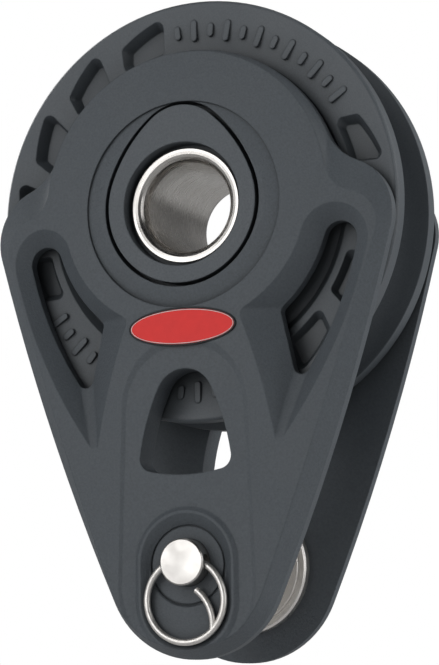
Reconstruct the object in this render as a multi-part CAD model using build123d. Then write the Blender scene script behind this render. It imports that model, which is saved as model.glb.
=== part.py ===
"""Single sheave block for 14 mm rope.

Two moulded cheeks carry a 75 mm sheave on a hollow hub.  A clevis pin with a
split ring crosses the tails of the cheeks.

Axes: the sheave turns about Y, the front cheek is on the -Y side, Z is up and
the clevis pin is below the hub.  The origin is the middle of the hub.
A "depth" is a distance from the mid-plane, measured towards the front.
"""
from build123d import *

import math
import os

os.makedirs("parts", exist_ok=True)

# ---------------------------------------------------------------- dimensions, mm
ROPE_D = 14.0                    # largest rope
PIN_DROP = 62.1                  # hub axis to clevis pin axis
SLIP_GAP = 0.05                  # radial clearance of a turning or sliding fit
ROLL_GAP = 0.03                  # radial clearance of a roller or ball on its race
LAY_GAP = 0.15                   # clearance round a piece laid into a recess

# sheave
SHEAVE_R = 37.5
SHEAVE_HALF = 10.3               # mid-plane to the flange face
RIM_CHAMFER = 0.4
GROOVE_DEPTH = 9.0
GROOVE_EDGE = 0.3                # groove mouth is this much narrower than the rope, per side
DISH = 1.1                       # the flange face sinks this much from its rim to the lip
DISH_R = 36.4
LIP_R = 28.0                     # edge of the recessed middle of the sheave
LIP_FOOT_R = 26.8
SIDE_FACE = 8.0                  # mid-plane to the recessed face
POCKET_COUNT = 16                # pocket positions round a flange
MARK_POSITIONS = (1, 2, 3, 9, 10, 11, 12)
POCKET_DEPTH = 2.5
POCKET_R = (28.8, 35.5, 34.0)    # inner edge, outer edge at the low and at the high side
POCKET_SPAN = (5.65, 14.35)      # height of the low and high side of the first pocket
POCKET_BULGE = 27.0              # radius of the pocket's outer edge
MARK_START = 11.0                # angle of the first mark position, degrees
MARK_TOP = 10.25                 # depth of the tops of the marks
MARK_R = 32.3
MARK_SIZES = (3.8, 2.4, 3.8, 2.4)
MARK_W = 1.1

# cheeks
CHEEK_GAP = 0.65                 # sheave flange to cheek
EDGE_WALL = 2.0                  # straight side wall of a cheek before its bevel starts
SPINE_DEPTH = 16.9               # front face on the centre line
BEVEL_TOP = 17.6                 # depth at which the bevel loft ends
SKIN_R = 240.0                   # side-to-side curvature of the front face
CROWN_R = 126.0                  # curvature of the head towards its top
CROWN_START = 5.0                # height at which the head starts to curve back
HEAD_R = 28.0
NECK_R = 9.5                     # hollow between head and shoulder
SHOULDER = (27.3, -3.8, 10.0)    # x, z, radius
SIDE_R = 420.0                   # slight swell of the long sides
CHIN_R = (16.5, 17.2)            # front and rear cheek
TOP_HEAD_R = 26.5                # the same outline where the bevel loft ends
TOP_SHOULDER = (23.6, -9.6, 5.5)
CHIN_BEVEL = 2.1                 # the chin is this much smaller where the bevel loft ends
BOSS_R = 18.2                    # outer edge of the cone round the hub plate
BOSS_DROP = 0.75

# shallow tongue round the centre window and the pin
TONGUE_DEPTH = 16.35             # depth of its flat floor
TONGUE_FLANK = 1.6               # width of its sloping edge, measured at the face
TONGUE_ARCH = (-35.6, 11.0)      # z and radius of the upper end
TONGUE_FOOT = (-66.0, 12.2)
WINDOW_ARCH = (-34.2, 5.4)       # z and radius of the top of the centre window
WINDOW_CORNER = (6.2, -44.1, 2.3)

# hub
HUB_BORE_R = 7.8
HUB_TUBE_R = 9.3
HUB_LIP_R = 10.0
HUB_LIP_T = 1.45
HUB_LIP_DEPTH = 14.75            # front face of the lip
HUB_LIP_EDGE = 0.45              # flat ring of the lip outside its flare
HUB_FLARE = 2.6                  # axial length of the flare
COLLAR_R = 8.6                   # the rear collar sleeves over the tube end
COLLAR_DEPTH = (10.95, 12.5)
PLATE_DEPTH = 16.6
PLATE_R = 13.85
PLATE_APEX = (9.0, 8.5)          # z and radius of the plate's upper lobe
PLATE_FLANK_R = 26.0
PLATE_GAP = 0.7                  # open groove round the plate
PLATE_SEAT = 12.95               # depth of the ledge the plate sits on
PLATE_SPIGOT_R = 11.4
PLATE_RECESS_R = 10.9

# bearing
INNER_RACE_R = 12.4
ROLLER_R = 1.6
ROLLER_HALF = 6.8
ROLLER_COUNT = 18
CAGE_T = 1.5
CAGE_HALF = 7.8
OUTER_RACE_T = 2.35
RACE_HALF = 8.0
BALL_R = 1.7
BALL_PITCH_R = 21.8
BALL_COUNT = 24
RETAINER_HALF_W = 2.5
RETAINER_T = 1.6

# clevis pin, its bushes and its split ring
PIN_R = 4.0
PIN_END_DEPTH = 18.75
PIN_END_CHAMFER = 0.25
PIN_HEAD_R = 6.0
PIN_HEAD_T = 1.7
RECESS_FLOOR = 15.75             # depth of the floor round the pin
RECESS_FLOOR_R = 6.9
RECESS_FLOOR_DROP = 0.45         # the floor's centre is this much below the pin axis
RECESS_RIM_R = 8.4
RECESS_GROOVE = 0.3
SCOOP_DROP = 6.6                 # pin axis to the lower centre of the ring's scoop
SCOOP_FLOOR = (15.9, 16.3)       # floor depth at the pin and at the bottom
RECESS_LIP = 0.55                # height of the raised lip round the recess and scoop
RECESS_LIP_W = 1.3
BUSH_FLANGE_R = 12.0
BUSH_FLANGE_T = 1.9
BUSH_R = 6.2
BUSH_END_DEPTH = 14.2
BUSH_EDGE = 0.35
BUSH_LINE_R = 10.6               # fine groove in the flange of the bush
BUSH_LINE = 0.25
RING_WIRE_R = 0.58
RING_R = 7.1                     # wire centre line
RING_HOLE_R = 1.28
RING_DEPTH = 17.15
RING_RISE = 0.61                 # wire centre above the cross-hole axis, inside the pin
TAIL_R = 7.2                     # arc of the loose end of the ring
TAIL_SPAN = 62.0

# badge
BADGE_SIZE = (19.7, 6.4)
BADGE_Z = -21.6
BADGE_DEPTH = 16.95
BADGE_T = 0.6
BADGE_BEVEL = 0.2

# triangular pocket and window each side of the spine: x, z, radius of the corners
SIDE_POCKET = ((28.8, -8.2, 8.2), (11.9, -20.3, 1.6), (16.9, -43.2, 0.8))
SIDE_POCKET_LINKS = (-21.0, -120.0, 110.0)
SIDE_WINDOW = ((27.9, -7.9, 3.0), (18.1, -19.8, 1.3), (20.4, -29.2, 1.5))
SIDE_WINDOW_LINKS = (-25.5, 0.0, 60.0)
SIDE_WINDOW_DEPTH = 12.9

# ---------------------------------------------------------------- derived sizes
CHEEK_IN = SHEAVE_HALF + CHEEK_GAP
BEVEL_BASE = CHEEK_IN + EDGE_WALL
GROOVE_HALF = ROPE_D / 2 - GROOVE_EDGE
ROLLER_PITCH_R = INNER_RACE_R + ROLLER_R + ROLL_GAP
OUTER_RACE_R = ROLLER_PITCH_R + ROLLER_R + ROLL_GAP
SHEAVE_BORE_R = OUTER_RACE_R + OUTER_RACE_T
BALL_TRACK_R = BALL_R + ROLL_GAP + SLIP_GAP
BALL_DEPTH = (CHEEK_IN + SIDE_FACE) / 2
PIN_AT = Pos(0, 0, -PIN_DROP)
BIG = 60.0                       # reaches past the whole block


# ---------------------------------------------------------------- shape helpers
def front(depth):
    """Drawing plane at a depth: local x is X, local y is Z, it extrudes to the front."""
    return Plane.XZ.offset(depth)


def slab(sketch, start, end):
    """Extrude a flat X-Z sketch from one depth to another."""
    return extrude(front(start) * sketch, end - start)


def turned(points):
    """Solid of revolution about Y from (radius, depth) points."""
    outline = Polyline(*[(radius, -depth) for radius, depth in points], close=True)
    return revolve(make_face(outline), Axis.Y)


def mirrored(shape):
    """The same shape on the rear side."""
    return mirror(shape, Plane.XZ)


def unit(vector):
    return vector / vector.length


def corner(centre_a, reach_a, centre_b, reach_b, side):
    """Point at given distances from two centres, left (+1) or right (-1) of a-to-b."""
    span = centre_b - centre_a
    along = (span.length ** 2 + reach_a ** 2 - reach_b ** 2) / (2 * span.length)
    across = math.sqrt(reach_a ** 2 - along ** 2)
    direction = unit(span)
    return centre_a + direction * along + Vector(-direction.Y, direction.X) * across * side


def link(a, b, radius):
    """Tangent link between two corner circles.

    A positive radius is a swelling arc, a negative one is a hollow arc and zero is a
    straight line.  Returns the two tangent points and the middle of the arc.
    """
    centre_a, centre_b = Vector(a[0], a[1]), Vector(b[0], b[1])
    if radius == 0:
        span = centre_b - centre_a
        lean = (a[2] - b[2]) / span.length
        direction = unit(span)
        normal = direction * lean + Vector(direction.Y, -direction.X) * math.sqrt(1 - lean ** 2)
        return centre_a + normal * a[2], None, centre_b + normal * b[2]
    if radius > 0:
        hub = corner(centre_a, radius - a[2], centre_b, radius - b[2], 1)
        start = centre_a + unit(centre_a - hub) * a[2]
        end = centre_b + unit(centre_b - hub) * b[2]
    else:
        hub = corner(centre_a, a[2] - radius, centre_b, b[2] - radius, -1)
        start = centre_a + unit(hub - centre_a) * a[2]
        end = centre_b + unit(hub - centre_b) * b[2]
    return start, hub + unit((start - hub) + (end - hub)) * abs(radius), end


def rounded(corners, links):
    """Closed face round corner circles (x, z, radius), counter-clockwise."""
    count = len(corners)
    joins = [link(corners[i], corners[(i + 1) % count], links[i]) for i in range(count)]
    edges = []
    for i, (x, z, radius) in enumerate(corners):
        arrive, leave = joins[i - 1][2], joins[i][0]
        centre = Vector(x, z)
        turn_in = math.atan2(arrive.Y - z, arrive.X - x)
        turn_out = math.atan2(leave.Y - z, leave.X - x)
        half = ((turn_out - turn_in) % (2 * math.pi)) / 2
        middle = centre + Vector(math.cos(turn_in + half), math.sin(turn_in + half)) * radius
        edges.append(ThreePointArc(arrive, middle, leave))
        start, bulge, end = joins[i]
        edges.append(Line(start, end) if bulge is None else ThreePointArc(start, bulge, end))
    return make_face(Wire(edges))


def bridge(low_face, low_depth, high_face, high_depth):
    """Straight-sided solid between two outlines at two depths."""
    return loft([front(low_depth) * low_face, front(high_depth) * high_face], ruled=True)


def flipped(corners):
    """The same corners on the left side, still counter-clockwise."""
    return tuple((-x, z, radius) for x, z, radius in reversed(corners))


# ---------------------------------------------------------------- outlines
def cheek_outline(head_r, shoulder, chin_r):
    head = (0.0, 0.0, head_r)
    chin = (0.0, -PIN_DROP, chin_r)
    left = (-shoulder[0], shoulder[1], shoulder[2])
    return rounded((head, left, chin, shoulder), (-NECK_R, SIDE_R, SIDE_R, -NECK_R))


def plate_outline(grow=0.0):
    """Egg shape: round below, narrower lobe above."""
    low = (0.0, 0.0, PLATE_R + grow)
    high = (0.0, PLATE_APEX[0], PLATE_APEX[1] + grow)
    return rounded((low, high), (PLATE_FLANK_R + grow, PLATE_FLANK_R + grow))


def tongue_outline(grow=0.0):
    arch = (0.0, TONGUE_ARCH[0], TONGUE_ARCH[1] + grow)
    foot = (0.0, TONGUE_FOOT[0], TONGUE_FOOT[1] + grow)
    return rounded((arch, foot), (0.0, 0.0))


def window_outline():
    x, z, radius = WINDOW_CORNER
    arch = (0.0, WINDOW_ARCH[0], WINDOW_ARCH[1])
    return rounded((arch, (-x, z, radius), (x, z, radius)), (40.0, 30.0, 40.0))


def scoop_outline(grow=0.0):
    top = (0.0, -PIN_DROP, RECESS_RIM_R + grow)
    foot = (0.0, -PIN_DROP - SCOOP_DROP, RECESS_RIM_R + grow)
    return rounded((top, foot), (0.0, 0.0))


# ---------------------------------------------------------------- cheek
def front_skin():
    """Everything behind the front face, which curves across and, at the head, upwards."""
    axis_y = SKIN_R - SPINE_DEPTH
    top = HEAD_R + 5

    def crown(z):
        return -SPINE_DEPTH + CROWN_R - math.sqrt(CROWN_R ** 2 - (z - CROWN_START) ** 2)

    middle = (top + CROWN_START) / 2
    curve = ThreePointArc((-SPINE_DEPTH, CROWN_START), (crown(middle), middle), (crown(top), top))
    back = -CHEEK_IN / 2
    rest = Polyline(curve @ 1, (back, top), (back, -2 * PIN_DROP), (-SPINE_DEPTH, -2 * PIN_DROP), curve @ 0)
    section = Plane.YZ * make_face(Wire([*curve.edges(), *rest.edges()]))
    return revolve(section, Axis((0, axis_y, 0), (0, 0, 1)))


def boss_cut():
    """Takes the face down to the shallow cone round the hub plate."""
    cone_in = PLATE_R + PLATE_GAP
    return turned([
        (0, PLATE_DEPTH), (cone_in, PLATE_DEPTH), (BOSS_R, PLATE_DEPTH - BOSS_DROP),
        (BOSS_R, BIG), (0, BIG),
    ])


def pin_recess():
    """Round recess with sloping walls and a fine line round its floor."""
    rim_depth = TONGUE_DEPTH + RECESS_LIP
    centre = Pos(0, -PIN_DROP - RECESS_FLOOR_DROP)
    floor, line = Circle(RECESS_FLOOR_R), Circle(RECESS_FLOOR_R - RECESS_GROOVE)
    rim = Pos(0, -PIN_DROP) * Circle(RECESS_RIM_R)
    recess = bridge(centre * floor, RECESS_FLOOR, rim, rim_depth) + slab(rim, rim_depth, BIG)
    return recess + slab(centre * (floor - line), RECESS_FLOOR - RECESS_GROOVE, RECESS_FLOOR)


def ring_scoop():
    """Ramp under the split ring, open towards the chin."""
    start = -PIN_DROP
    end = start - SCOOP_DROP - RECESS_RIM_R
    profile = Polyline(
        (-SCOOP_FLOOR[0], start), (-SCOOP_FLOOR[1], end - 4), (-BIG, end - 4), (-BIG, start), close=True
    )
    ramp = extrude(Plane.YZ * make_face(profile), RECESS_RIM_R + 1, both=True)
    rim_depth = TONGUE_DEPTH + RECESS_LIP
    trough = bridge(scoop_outline(RECESS_FLOOR_R - RECESS_RIM_R), RECESS_FLOOR, scoop_outline(), rim_depth)
    return ramp & (trough + slab(scoop_outline(), rim_depth, BIG))


def side_opening(sign):
    """Bevelled pocket and window on one side of the spine."""
    pocket, window = SIDE_POCKET, SIDE_WINDOW
    pocket_links, window_links = SIDE_POCKET_LINKS, SIDE_WINDOW_LINKS
    if sign < 0:
        pocket, window = flipped(pocket), flipped(window)
        pocket_links = (pocket_links[1], pocket_links[0], pocket_links[2])
        window_links = (window_links[1], window_links[0], window_links[2])
    hole = rounded(window, window_links)
    mouth = rounded(pocket, pocket_links)
    well = bridge(hole, SIDE_WINDOW_DEPTH, mouth, SPINE_DEPTH)
    return well + slab(hole, CHEEK_IN - 1, SIDE_WINDOW_DEPTH)


def make_cheek(chin_r):
    base = cheek_outline(HEAD_R, SHOULDER, chin_r)
    top = cheek_outline(TOP_HEAD_R, TOP_SHOULDER, chin_r - CHIN_BEVEL)
    block = slab(base, CHEEK_IN, BEVEL_BASE) + bridge(base, BEVEL_BASE, top, BEVEL_TOP)
    cheek = block & front_skin()
    tongue_rise = SPINE_DEPTH - TONGUE_DEPTH
    tongue = bridge(tongue_outline(), TONGUE_DEPTH, tongue_outline(TONGUE_FLANK * 2), TONGUE_DEPTH + 2 * tongue_rise)
    lip = bridge(
        scoop_outline(RECESS_LIP_W), TONGUE_DEPTH - 0.1,
        scoop_outline(RECESS_LIP_W / 3), TONGUE_DEPTH + RECESS_LIP,
    )
    cheek = cheek - tongue + (lip & block)
    cheek = cheek - boss_cut()
    cheek = cheek - side_opening(1) - side_opening(-1)
    cheek = cheek - slab(window_outline(), CHEEK_IN - 1, BIG)
    cheek = cheek - slab(plate_outline(PLATE_GAP), PLATE_SEAT, BIG)
    cheek = cheek - slab(Circle(PLATE_SPIGOT_R), CHEEK_IN - 1, PLATE_SEAT)
    cheek = cheek - pin_recess() - ring_scoop()
    cheek = cheek - PIN_AT * slab(Circle(PIN_R + SLIP_GAP), CHEEK_IN - 1, BIG)
    cheek = cheek - PIN_AT * slab(Circle(BUSH_R), CHEEK_IN - 1, BUSH_END_DEPTH)
    badge_seat = Ellipse(BADGE_SIZE[0] / 2 + LAY_GAP, BADGE_SIZE[1] / 2 + LAY_GAP)
    cheek = cheek - slab(Pos(0, BADGE_Z) * badge_seat, BADGE_DEPTH - BADGE_T, BIG)
    return cheek - ball_track()


def ball_track():
    """Ring groove that the side balls run in."""
    track = Pos(BALL_PITCH_R, -BALL_DEPTH) * Circle(BALL_TRACK_R)
    return revolve(track, Axis.Y)


# ---------------------------------------------------------------- sheave
def sheave_pocket():
    """The first flange pocket, whose low and high sides are both level."""
    low_z, high_z = POCKET_SPAN
    inner, outer_low, outer_high = POCKET_R

    def across(radius, z):
        return math.sqrt(radius ** 2 - z ** 2)

    def shape(round_in, low_in, high_in, radius):
        low, high = low_z + low_in + radius, high_z - high_in - radius
        near, trim = inner + round_in + radius, round_in + radius
        ends = (
            (across(near, low), low, radius),
            (across(outer_low - trim, low), low, radius),
            (across(outer_high - trim, high), high, radius),
            (across(near, high), high, radius),
        )
        return rounded(ends, (0.0, POCKET_BULGE - round_in, 0.0, -inner - round_in))

    mouth = shape(0, 0, 0, 1.3)
    floor = shape(1.3, 0.8, 1.6, 0.6)
    return bridge(floor, SHEAVE_HALF - POCKET_DEPTH, mouth, SHEAVE_HALF) + slab(mouth, SHEAVE_HALF, SHEAVE_HALF + 1)


def at_angle(degrees):
    """Turn counter-clockwise, seen from the front."""
    return Rot(0, -degrees, 0)


def flange_marks():
    """Plain raised dashes, set radially in place of any lettering."""
    pitch = 360 / POCKET_COUNT
    dashes = []
    for position in MARK_POSITIONS:
        for step, length in enumerate(MARK_SIZES):
            bar = Pos(MARK_R, 0) * SlotOverall(length, MARK_W)
            dash = slab(bar, SIDE_FACE, MARK_TOP)
            dashes.append(at_angle(MARK_START + (position + step / len(MARK_SIZES)) * pitch) * dash)
    return dashes


def make_sheave():
    edge = SHEAVE_R - RIM_CHAMFER
    wheel = turned([
        (SHEAVE_BORE_R, -SIDE_FACE), (SHEAVE_BORE_R, SIDE_FACE),
        (LIP_FOOT_R, SIDE_FACE), (LIP_R, SHEAVE_HALF - DISH), (DISH_R, SHEAVE_HALF), (edge, SHEAVE_HALF),
        (SHEAVE_R, SHEAVE_HALF - RIM_CHAMFER), (SHEAVE_R, RIM_CHAMFER - SHEAVE_HALF),
        (edge, -SHEAVE_HALF), (DISH_R, -SHEAVE_HALF), (LIP_R, DISH - SHEAVE_HALF), (LIP_FOOT_R, -SIDE_FACE),
    ])
    groove = Pos(SHEAVE_R, 0) * Ellipse(GROOVE_DEPTH, GROOVE_HALF)
    wheel = wheel - revolve(groove, Axis.Y)
    pitch = 360 / POCKET_COUNT
    pockets = [
        at_angle(i * pitch) * sheave_pocket()
        for i in range(POCKET_COUNT) if i not in MARK_POSITIONS
    ]
    marks = flange_marks()
    for cut in pockets:
        wheel = wheel - cut - mirrored(cut)
    for mark in marks:
        wheel = wheel + mark + mirrored(mark)
    return wheel - ball_track() - mirrored(ball_track())


# ---------------------------------------------------------------- hub
def flare_points(steps=6):
    """Bell mouth of the hub, from the throat out to the lip: (radius, depth)."""
    mouth_r = HUB_LIP_R - HUB_LIP_EDGE
    rise = mouth_r - HUB_BORE_R
    points = []
    for i in range(steps + 1):
        turn = math.radians(90 * i / steps)
        depth = HUB_LIP_DEPTH - HUB_FLARE * (1 - math.sin(turn))
        points.append((HUB_BORE_R + rise * (1 - math.cos(turn)), depth))
    return points


def make_hub_tube():
    """Hollow axle with a flared lip in front and a reduced end behind for the collar."""
    flare = flare_points()
    lip_back = HUB_LIP_DEPTH - HUB_LIP_T
    return turned([
        (HUB_BORE_R, -COLLAR_DEPTH[1]), *flare,
        (HUB_LIP_R, HUB_LIP_DEPTH), (HUB_LIP_R, lip_back), (HUB_TUBE_R, lip_back),
        (HUB_TUBE_R, -COLLAR_DEPTH[0]), (COLLAR_R, -COLLAR_DEPTH[0]), (COLLAR_R, -COLLAR_DEPTH[1]),
    ])


def make_hub_collar():
    """Rear lip, sleeved over the end of the tube."""
    flare = flare_points()
    lip_back = HUB_LIP_DEPTH - HUB_LIP_T
    inside = [(radius, depth) for radius, depth in flare if depth > COLLAR_DEPTH[1]]
    collar = turned([
        (COLLAR_R, COLLAR_DEPTH[0]), (COLLAR_R, COLLAR_DEPTH[1]), (HUB_BORE_R, COLLAR_DEPTH[1]),
        *inside, (HUB_LIP_R, HUB_LIP_DEPTH), (HUB_LIP_R, lip_back),
        (HUB_TUBE_R, lip_back), (HUB_TUBE_R, COLLAR_DEPTH[0]),
    ])
    return mirrored(collar)


def make_hub_plate():
    """Egg-shaped plate that keys the hub to the cheek."""
    body = slab(plate_outline(), PLATE_SEAT, PLATE_DEPTH) + slab(Circle(PLATE_SPIGOT_R), CHEEK_IN, PLATE_SEAT)
    body = body - slab(Circle(PLATE_RECESS_R), HUB_LIP_DEPTH - HUB_LIP_T, BIG)
    return body - slab(Circle(HUB_TUBE_R), CHEEK_IN - 1, BIG)


# ---------------------------------------------------------------- bearing
def ring_of(shape, count, radius):
    """Copies of a shape, set round the Y axis at a radius."""
    return [at_angle(i * 360 / count) * Pos(radius, 0, 0) * shape for i in range(count)]


def make_inner_race():
    return turned([
        (HUB_TUBE_R, -CHEEK_IN), (INNER_RACE_R, -CHEEK_IN), (INNER_RACE_R, CHEEK_IN), (HUB_TUBE_R, CHEEK_IN),
    ])


def make_outer_race():
    return turned([
        (OUTER_RACE_R, -RACE_HALF), (SHEAVE_BORE_R, -RACE_HALF),
        (SHEAVE_BORE_R, RACE_HALF), (OUTER_RACE_R, RACE_HALF),
    ])


def roller_blank(radius, half):
    return slab(Circle(radius), -half, half)


def make_roller_cage():
    inner = ROLLER_PITCH_R - CAGE_T / 2
    outer = ROLLER_PITCH_R + CAGE_T / 2
    cage = turned([(inner, -CAGE_HALF), (outer, -CAGE_HALF), (outer, CAGE_HALF), (inner, CAGE_HALF)])
    slots = ring_of(roller_blank(ROLLER_R + SLIP_GAP, ROLLER_HALF + SLIP_GAP), ROLLER_COUNT, ROLLER_PITCH_R)
    for slot in slots:
        cage = cage - slot
    return cage


def make_rollers():
    return Compound(ring_of(roller_blank(ROLLER_R, ROLLER_HALF), ROLLER_COUNT, ROLLER_PITCH_R))


def make_ball_retainer():
    inner, outer = BALL_PITCH_R - RETAINER_HALF_W, BALL_PITCH_R + RETAINER_HALF_W
    low, high = BALL_DEPTH - RETAINER_T / 2, BALL_DEPTH + RETAINER_T / 2
    retainer = turned([(inner, low), (outer, low), (outer, high), (inner, high)])
    for hole in ring_of(slab(Circle(BALL_R + SLIP_GAP), low - 1, high + 1), BALL_COUNT, BALL_PITCH_R):
        retainer = retainer - hole
    return retainer


def make_balls():
    ball = Pos(0, -BALL_DEPTH, 0) * Sphere(BALL_R)
    return Compound(ring_of(ball, BALL_COUNT, BALL_PITCH_R))


# ---------------------------------------------------------------- clevis pin, bushes, ring
def make_pin_bush():
    """Flanged bush, pressed into a cheek from the inside."""
    flange_in = CHEEK_IN - BUSH_FLANGE_T
    hole = PIN_R + SLIP_GAP
    return PIN_AT * turned([
        (hole, flange_in), (BUSH_LINE_R - BUSH_LINE, flange_in), (BUSH_LINE_R, flange_in + BUSH_LINE),
        (BUSH_LINE_R + BUSH_LINE, flange_in),
        (BUSH_FLANGE_R - BUSH_EDGE, flange_in), (BUSH_FLANGE_R, flange_in + BUSH_EDGE),
        (BUSH_FLANGE_R, CHEEK_IN), (BUSH_R, CHEEK_IN), (BUSH_R, BUSH_END_DEPTH), (hole, BUSH_END_DEPTH),
    ])


def make_clevis_pin():
    end = PIN_END_DEPTH
    seat = -RECESS_FLOOR - SLIP_GAP
    head = seat - PIN_HEAD_T
    pin = PIN_AT * turned([
        (0, head), (PIN_HEAD_R - PIN_END_CHAMFER, head), (PIN_HEAD_R, head + PIN_END_CHAMFER),
        (PIN_HEAD_R, seat), (PIN_R, seat), (PIN_R, end - PIN_END_CHAMFER),
        (PIN_R - PIN_END_CHAMFER, end), (0, end),
    ])
    hole = Plane.YZ * Pos(-RING_DEPTH, -PIN_DROP) * Circle(RING_HOLE_R)
    return pin - extrude(hole, 2 * PIN_R, both=True)


def make_split_ring():
    """Closed coil hanging from the cross hole, with the loose end of its second turn."""
    centre_z = -PIN_DROP + RING_RISE - RING_R
    section = Pos(RING_R, 0) * Circle(RING_WIRE_R)
    coil = Pos(0, -RING_DEPTH, centre_z) * revolve(section, Axis.Y)
    join = math.radians(-46)
    tail_centre_x = RING_R * math.cos(join) - TAIL_R * math.cos(math.radians(-8))
    tail_centre_z = RING_R * math.sin(join) - TAIL_R * math.sin(math.radians(-8))
    tail_section = Rot(0, 8, 0) * Pos(TAIL_R, 0) * Circle(RING_WIRE_R)
    tail = revolve(tail_section, Axis.Y, revolution_arc=-TAIL_SPAN)
    return coil + Pos(tail_centre_x, -RING_DEPTH, centre_z + tail_centre_z) * tail


# ---------------------------------------------------------------- badge
def make_badge():
    """Plain oval plaque with a bevelled edge."""
    half_x, half_z = BADGE_SIZE[0] / 2, BADGE_SIZE[1] / 2
    body = slab(Pos(0, BADGE_Z) * Ellipse(half_x, half_z), BADGE_DEPTH - BADGE_T, BADGE_DEPTH - BADGE_BEVEL)
    low = Pos(0, BADGE_Z) * Ellipse(half_x, half_z)
    high = Pos(0, BADGE_Z) * Ellipse(half_x - BADGE_BEVEL, half_z - BADGE_BEVEL)
    return body + bridge(low, BADGE_DEPTH - BADGE_BEVEL, high, BADGE_DEPTH)


# ---------------------------------------------------------------- write the nodes
def main():
    front_chin, rear_chin = CHIN_R
    plate = make_hub_plate()
    retainer = make_ball_retainer()
    balls = make_balls()
    bush = make_pin_bush()
    badge = make_badge()
    nodes = {
        "front_cheek": make_cheek(front_chin),
        "rear_cheek": mirrored(make_cheek(rear_chin)),
        "sheave": make_sheave(),
        "sheave_race": make_outer_race(),
        "hub_tube": make_hub_tube(),
        "rear_hub_collar": make_hub_collar(),
        "front_hub_plate": plate,
        "rear_hub_plate": mirrored(plate),
        "inner_race": make_inner_race(),
        "roller_cage": make_roller_cage(),
        "rollers": make_rollers(),
        "front_ball_retainer": retainer,
        "rear_ball_retainer": mirrored(retainer),
        "front_balls": balls,
        "rear_balls": mirrored(balls),
        "front_pin_bush": bush,
        "rear_pin_bush": mirrored(bush),
        "clevis_pin": make_clevis_pin(),
        "split_ring": make_split_ring(),
        "front_badge": badge,
        "rear_badge": mirrored(badge),
    }
    for name, shape in nodes.items():
        export_step(shape, f"parts/{name}.step")


main()
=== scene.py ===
"""Looks for the single sheave block: materials, small surface detail, light and camera."""
import math

import bmesh
import bpy
from mathutils import Matrix, Vector


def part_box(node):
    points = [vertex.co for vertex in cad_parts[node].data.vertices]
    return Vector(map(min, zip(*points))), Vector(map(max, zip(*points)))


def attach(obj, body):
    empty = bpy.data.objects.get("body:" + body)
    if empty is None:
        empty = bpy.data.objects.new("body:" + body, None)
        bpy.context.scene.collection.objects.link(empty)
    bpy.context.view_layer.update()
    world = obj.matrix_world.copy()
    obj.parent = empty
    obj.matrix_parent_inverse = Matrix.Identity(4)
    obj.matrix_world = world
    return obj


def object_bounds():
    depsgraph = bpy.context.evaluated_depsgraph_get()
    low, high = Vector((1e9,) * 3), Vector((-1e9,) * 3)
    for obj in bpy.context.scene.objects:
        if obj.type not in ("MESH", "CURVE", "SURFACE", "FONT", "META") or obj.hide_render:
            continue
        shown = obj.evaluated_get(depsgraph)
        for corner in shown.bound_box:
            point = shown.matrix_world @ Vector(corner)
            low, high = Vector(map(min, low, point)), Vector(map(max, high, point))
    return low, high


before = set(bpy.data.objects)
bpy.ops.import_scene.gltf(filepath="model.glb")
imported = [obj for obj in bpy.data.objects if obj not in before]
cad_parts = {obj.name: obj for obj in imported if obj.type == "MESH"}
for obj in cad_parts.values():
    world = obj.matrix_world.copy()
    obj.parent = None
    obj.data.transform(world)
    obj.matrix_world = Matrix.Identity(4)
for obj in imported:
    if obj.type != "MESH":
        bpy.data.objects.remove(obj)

cad_low, cad_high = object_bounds()
MM = 0.001


# ---------------------------------------------------------------- sizes taken from the frame
def middle(node):
    low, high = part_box(node)
    return (Vector(low) + Vector(high)) / 2


def span(node):
    low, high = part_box(node)
    return Vector(high) - Vector(low)


BADGE_SIZE = span("front_badge")


# ---------------------------------------------------------------- node helpers
class Nodes:
    """A material's node tree, with a short method for each kind of node it needs."""

    def __init__(self, name):
        """Makes the material and finds its Principled shader."""
        self.material = bpy.data.materials.new(name)
        self.material.use_nodes = True
        self.tree = self.material.node_tree
        self.shader = self.tree.nodes["Principled BSDF"]

    def add(self, kind, **inputs):
        node = self.tree.nodes.new(kind)
        for key, value in inputs.items():
            name = key.replace("_", " ")
            if name in node.inputs:
                self.give(node.inputs[name], value)
            else:
                setattr(node, key, value)
        return node

    def give(self, socket, value):
        if isinstance(value, bpy.types.NodeSocket):
            self.tree.links.new(value, socket)
        else:
            socket.default_value = value

    def set(self, **values):
        for key, value in values.items():
            self.give(self.shader.inputs[key.replace("_", " ")], value)

    def position(self, scale=(1, 1, 1)):
        coords = self.add("ShaderNodeTexCoord")
        mapping = self.add("ShaderNodeMapping", Scale=scale, Vector=coords.outputs["Object"])
        return mapping.outputs["Vector"]

    def noise(self, vector, scale, detail=2.0, roughness=0.5):
        node = self.add("ShaderNodeTexNoise", Vector=vector, Scale=scale, Detail=detail, Roughness=roughness)
        return node.outputs["Fac"]

    def spread(self, value, low, high, start=0.3, end=0.7):
        """Stretches a value from start..end to low..high."""
        node = self.add("ShaderNodeMapRange")
        for key, number in (("From Min", start), ("From Max", end), ("To Min", low), ("To Max", high)):
            node.inputs[key].default_value = number
        self.tree.links.new(value, node.inputs["Value"])
        return node.outputs["Result"]

    def blend(self, factor, first, second):
        node = self.add("ShaderNodeMix", data_type="RGBA")
        self.give(node.inputs[0], factor)
        self.give(node.inputs[6], first)
        self.give(node.inputs[7], second)
        return node.outputs[2]

    def bump(self, height, distance, strength=1.0, normal=None):
        node = self.add("ShaderNodeBump", Height=height, Distance=distance, Strength=strength)
        if normal is not None:
            self.give(node.inputs["Normal"], normal)
        return node.outputs["Normal"]


def grey(level, blue=0.0):
    """A grey of the given level, tinted towards blue by a share of it."""
    return (level, level * (1 + blue * 0.5), level * (1 + blue), 1.0)


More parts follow.
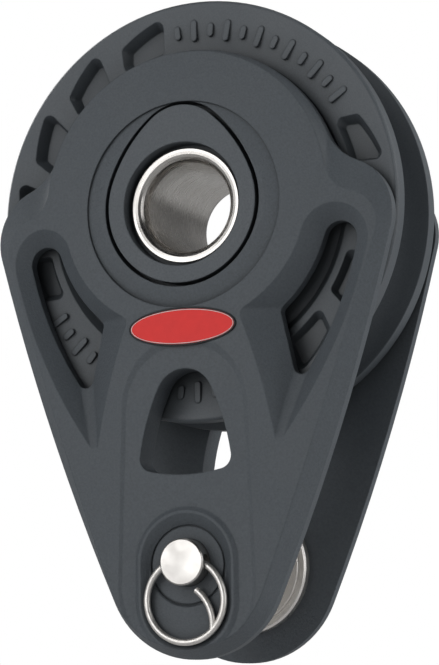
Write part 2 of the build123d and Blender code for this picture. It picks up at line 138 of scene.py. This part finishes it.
# ---------------------------------------------------------------- materials
CLOUD_SCALE = 90.0             # scale of the blotches in moulded plastic, per metre
HAZE_SCALE = 260.0             # scale of the blotches on steel, per metre
EDGE_ROUND = 0.35 * MM         # how far the shading is rounded at edges
PAINTED_SHADE_REACH = 7.0 * MM        # reach of the painted shade that darkens hollows, creases and gaps
GRAIN_DEPTH = 0.10 * MM
LINE_DEPTH = 0.012 * MM        # turning marks
MARKS_ALONG = 900.0            # squeezes the turning marks along the turning axis
MARKS_AROUND = 60.0            # and less across it, which draws them out


def moulded(name, level, blue, grain, roughness, relief=0.35):
    """Glass-filled plastic: fine moulded grain, faint cloudiness, softened edges, and painted shade (ambient
    occlusion mixed into the colour) darkening the hollows.
    """
    n = Nodes(name)
    where = n.position()
    fine = n.noise(where, grain, 3.0, 0.65)
    cloud = n.noise(where, CLOUD_SCALE, 3.0, 0.55)
    bevel = n.add("ShaderNodeBevel", Radius=EDGE_ROUND, samples=4)
    base = n.blend(n.spread(cloud, 0.0, 1.0), grey(level * 0.93, blue), grey(level * 1.07, blue))
    grains = n.spread(fine, 0.0, 1.0, 0.35, 0.65)
    speckled = n.blend(grains, grey(level * 0.80, blue), grey(level * 1.22, blue))
    colour = n.blend(0.5, base, speckled)
    # Painted shade: ambient occlusion blends the colour towards a much darker grey in hollows, creases and
    # gaps between parts.
    painted_shade_ao = n.add("ShaderNodeAmbientOcclusion", Distance=PAINTED_SHADE_REACH, samples=6)
    painted_shade_openness = n.spread(painted_shade_ao.outputs["AO"], 0.0, 1.0, 0.35, 0.90)
    shaded = n.blend(painted_shade_openness, grey(level * 0.42, blue), colour)
    n.set(Base_Color=shaded, IOR=1.5)
    n.set(Roughness=n.spread(cloud, roughness - 0.04, roughness + 0.04))
    n.set(Normal=n.bump(fine, GRAIN_DEPTH, relief, bevel.outputs["Normal"]))
    return n.material


def steel(name, axis, roughness, level=0.62):
    """Polished stainless steel with fine turning marks round the given axis."""
    n = Nodes(name)
    stretch = tuple(MARKS_ALONG if letter == axis else MARKS_AROUND for letter in "XYZ")
    lines = n.noise(n.position(stretch), 4.0, 3.0, 0.6)
    haze = n.noise(n.position(), HAZE_SCALE, 3.0, 0.5)
    warm = (level * 1.0, level * 0.965, level * 0.925, 1.0)
    cool = (level * 1.12, level * 1.09, level * 1.05, 1.0)
    n.set(Base_Color=n.blend(n.spread(haze, 0.0, 1.0), warm, cool), Metallic=1.0)
    n.set(Roughness=n.spread(lines, roughness * 0.75, roughness * 1.3))
    n.set(Normal=n.bump(lines, LINE_DEPTH, 0.35))
    return n.material


def badge_red(name):
    """Satin red print."""
    n = Nodes(name)
    haze = n.noise(n.position(), 500.0, 2.0, 0.5)
    deep, bright = (0.95, 0.040, 0.038, 1.0), (1.0, 0.050, 0.046, 1.0)
    n.set(Base_Color=n.blend(n.spread(haze, 0.0, 1.0), deep, bright))
    n.set(Roughness=n.spread(haze, 0.42, 0.50), Specular_IOR_Level=0.25)
    return n.material


def ink_white(name):
    """Satin white print."""
    n = Nodes(name)
    haze = n.noise(n.position(), 900.0, 2.0, 0.5)
    deep, bright = (0.78, 0.77, 0.76, 1.0), (0.86, 0.85, 0.84, 1.0)
    n.set(Base_Color=n.blend(n.spread(haze, 0.0, 1.0), deep, bright))
    n.set(Roughness=n.spread(haze, 0.30, 0.42))
    return n.material


def pale_plastic(name, level):
    """Smooth pale plastic of the balls and rollers."""
    n = Nodes(name)
    haze = n.noise(n.position(), 400.0, 3.0, 0.5)
    n.set(Base_Color=n.blend(n.spread(haze, 0.0, 1.0), grey(level * 0.93, -0.06), grey(level * 1.05, -0.04)))
    n.set(Roughness=n.spread(haze, 0.28, 0.38))
    return n.material


nylon = moulded("textured_nylon", 0.092, 0.31, 2600.0, 0.58, 0.9)
plate_nylon = moulded("textured_nylon_hub", 0.100, 0.29, 2600.0, 0.52, 0.9)
sheave_face = moulded("smooth_sheave", 0.095, 0.29, 3600.0, 0.50, 0.18)
race = steel("anodised_race", "Y", 0.34, 0.42)
bore_steel = steel("bore_steel", "Y", 0.27, 0.60)
pin_steel = steel("pin_steel", "Y", 0.33, 0.56)
bush_steel = steel("bush_steel", "Y", 0.40, 0.88)
wire_steel = steel("wire_steel", "X", 0.42, 0.78)
cage_plastic = moulded("cage_plastic", 0.035, 0.05, 3000.0, 0.45, 0.2)
rolling = pale_plastic("rolling_plastic", 0.62)
red = badge_red("badge_red")
white_ink = ink_white("badge_white")
border = moulded("badge_border", 0.02, 0.1, 4000.0, 0.4, 0.1)

FINISH = {
    "front_cheek": nylon, "rear_cheek": nylon,
    "front_hub_plate": plate_nylon, "rear_hub_plate": plate_nylon,
    "sheave": sheave_face, "sheave_race": sheave_face, "hub_tube": bore_steel, "rear_hub_collar": bore_steel,
    "inner_race": race, "roller_cage": cage_plastic, "rollers": rolling, "front_ball_retainer": cage_plastic,
    "rear_ball_retainer": cage_plastic, "front_balls": rolling, "rear_balls": rolling,
    "front_pin_bush": bush_steel, "rear_pin_bush": bush_steel,
    "clevis_pin": pin_steel, "split_ring": wire_steel,
    "front_badge": red, "rear_badge": red,
}
for node, material in FINISH.items():
    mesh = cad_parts[node].data
    mesh.materials.clear()
    mesh.materials.append(material)


# ---------------------------------------------------------------- badge print
def outline_mesh(name, rings, material, body):
    """Closed thin band whose faces join each ring of points to the next, and the last to the first."""
    mesh = bpy.data.meshes.new(name)
    bm = bmesh.new()
    loops = [[bm.verts.new(p) for p in ring] for ring in rings]
    count = len(loops[0])
    for inner, outer in zip(loops, loops[1:] + loops[:1]):
        for i in range(count):
            j = (i + 1) % count
            bm.faces.new((inner[i], inner[j], outer[j], outer[i]))
    bmesh.ops.recalc_face_normals(bm, faces=bm.faces)
    bm.to_mesh(mesh)
    bm.free()
    mesh.materials.append(material)
    for polygon in mesh.polygons:
        polygon.use_smooth = True
    piece = bpy.data.objects.new(name, mesh)
    bpy.context.scene.collection.objects.link(piece)
    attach(piece, body)
    return piece


def oval(centre, half_x, half_z, y, count=96):
    turns = [2 * math.pi * i / count for i in range(count)]
    return [Vector((centre.x + half_x * math.cos(t), y, centre.z + half_z * math.sin(t))) for t in turns]


def badge_trim(side, sign):
    """Dark rim and thin pale line round the badge."""
    badge = middle(f"{side}_badge")
    low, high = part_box(f"{side}_badge")
    face = low[1] if sign < 0 else high[1]
    half_x, half_z = BADGE_SIZE.x / 2, BADGE_SIZE.z / 2

    def band(name, outer, inner, top, bottom, material):
        y_top, y_bottom = face + sign * top, face - sign * bottom
        corners = ((inner, y_bottom), (inner, y_top), (outer, y_top), (outer, y_bottom))
        rings = [oval(badge, half_x - inset, half_z - inset, y) for inset, y in corners]
        outline_mesh(name, rings, material, "cheeks")

    # outer and inner edge inside the badge's outline, height above its face and depth below it
    band(f"{side}_badge_rim", -0.12 * MM, 0.16 * MM, 0.02 * MM, 0.3 * MM, border)
    band(f"{side}_badge_line", 0.24 * MM, 0.36 * MM, 0.015 * MM, 0.1 * MM, white_ink)


for side, sign in (("front", -1), ("rear", 1)):
    badge_trim(side, sign)


# ---------------------------------------------------------------- light
def area_light(name, place, aim, size, power):
    data = bpy.data.lights.new(name, "AREA")
    data.shape = "RECTANGLE"
    data.size, data.size_y = size
    data.energy = power
    light = bpy.data.objects.new(name, data)
    bpy.context.scene.collection.objects.link(light)
    light.location = place
    light.rotation_mode = "QUATERNION"
    light.rotation_quaternion = (Vector(aim) - Vector(place)).to_track_quat("-Z", "Y")


CENTRE = (0.0, 0.0, -0.02)
# Each lamp is 1 m out: azimuth (0 in front, + to the right) and elevation in degrees, width and height
# in metres, watts.
LIGHTS = {
    "front": (0, 0, 0.5, 0.5, 1.30),
    "front_left": (-25, 5, 0.5, 0.5, 1.80),
    "upper_left": (-25, 35, 0.5, 0.5, 1.60),
    "left": (-60, 5, 0.5, 0.7, 0.70),
    "right": (60, 5, 0.5, 0.7, 0.55),
    "side_right": (95, 10, 0.5, 0.7, 2.4),
    "top": (20, 100, 0.5, 0.5, 0.80),
    "behind": (180, 0, 1.2, 1.2, 0.75),
    "gleam": (72, 0, 0.16, 0.9, 0.5),
    "back_right": (118, 25, 0.5, 0.6, 3.6),
    "back_left": (-118, 25, 0.5, 0.6, 3.6),
}
for name, (azimuth, elevation, width, height, watts) in LIGHTS.items():
    turn, rise = math.radians(azimuth), math.radians(elevation)
    place = (math.sin(turn) * math.cos(rise), -math.cos(turn) * math.cos(rise), math.sin(rise))
    area_light(name, place, CENTRE, (width, height), watts)

world = bpy.data.worlds.new("studio")
bpy.context.scene.world = world
world.use_nodes = True
tree = world.node_tree
tree.nodes.clear()


def background(strength):
    """White world light of the given strength."""
    node = tree.nodes.new("ShaderNodeBackground")
    node.inputs["Color"].default_value = (1, 1, 1, 1)
    node.inputs["Strength"].default_value = strength
    return node


# White to the camera, and no light from the world: the lamps do all the lighting.
ambient = background(0.0)
backdrop = background(1.0)
rays = tree.nodes.new("ShaderNodeLightPath")
mix = tree.nodes.new("ShaderNodeMixShader")
output = tree.nodes.new("ShaderNodeOutputWorld")
tree.links.new(rays.outputs["Is Camera Ray"], mix.inputs[0])
tree.links.new(ambient.outputs[0], mix.inputs[1])
tree.links.new(backdrop.outputs[0], mix.inputs[2])
tree.links.new(mix.outputs[0], output.inputs["Surface"])
bpy.context.scene.view_settings.view_transform = "Standard"

# Pale floor, well below the block. It glows to the camera only, so that it stays pale far from the lamps.
FLOOR_Z = cad_low.z - 0.05
FLOOR_HALF = 6.0
floor_mesh = bpy.data.meshes.new("floor")
floor_mesh.from_pydata(
    [(-FLOOR_HALF, -FLOOR_HALF, FLOOR_Z), (FLOOR_HALF, -FLOOR_HALF, FLOOR_Z),
     (FLOOR_HALF, FLOOR_HALF, FLOOR_Z), (-FLOOR_HALF, FLOOR_HALF, FLOOR_Z)], [], [(0, 1, 2, 3)])
floor = bpy.data.objects.new("floor", floor_mesh)
bpy.context.scene.collection.objects.link(floor)
floor_look = Nodes("floor_pale")
seen = floor_look.add("ShaderNodeLightPath").outputs["Is Camera Ray"]
floor_look.set(Base_Color=floor_look.blend(seen, grey(0.62), grey(0.16)), Roughness=0.9)
floor_look.set(Emission_Color=grey(0.66), Emission_Strength=seen, Specular_IOR_Level=0.0)
floor_mesh.materials.append(floor_look.material)

# ---------------------------------------------------------------- camera
CAMERA_AZIMUTH = math.radians(22.757)
CAMERA_ELEVATION = math.radians(-7.216)
CAMERA_ROLL = math.radians(-0.938)
CAMERA_AIM = Vector((0.156, 0.0, -27.093)) * MM
CAMERA_DISTANCE = 426.66 * MM
CAMERA_LENS = 129.53
CAMERA_SHIFT = (-0.0028, 0.0545)

back = Vector((
    math.sin(CAMERA_AZIMUTH) * math.cos(CAMERA_ELEVATION),
    -math.cos(CAMERA_AZIMUTH) * math.cos(CAMERA_ELEVATION),
    math.sin(CAMERA_ELEVATION),
))
right = Vector((math.cos(CAMERA_AZIMUTH), math.sin(CAMERA_AZIMUTH), 0))
up = back.cross(right)
cos_roll, sin_roll = math.cos(CAMERA_ROLL), math.sin(CAMERA_ROLL)
turned_right = right * cos_roll + up * sin_roll
turned_up = up * cos_roll - right * sin_roll
camera_data = bpy.data.cameras.new("camera")
camera = bpy.data.objects.new("camera", camera_data)
bpy.context.scene.collection.objects.link(camera)
camera.matrix_world = Matrix((
    (turned_right.x, turned_up.x, back.x, 0), (turned_right.y, turned_up.y, back.y, 0),
    (turned_right.z, turned_up.z, back.z, 0), (0, 0, 0, 1),
))
camera.location = CAMERA_AIM + back * CAMERA_DISTANCE
camera_data.sensor_width = 36.0
camera_data.lens = CAMERA_LENS
camera_data.shift_x, camera_data.shift_y = CAMERA_SHIFT
camera_data.clip_start = 0.01
camera_data.clip_end = 50.0
bpy.context.scene.camera = camera
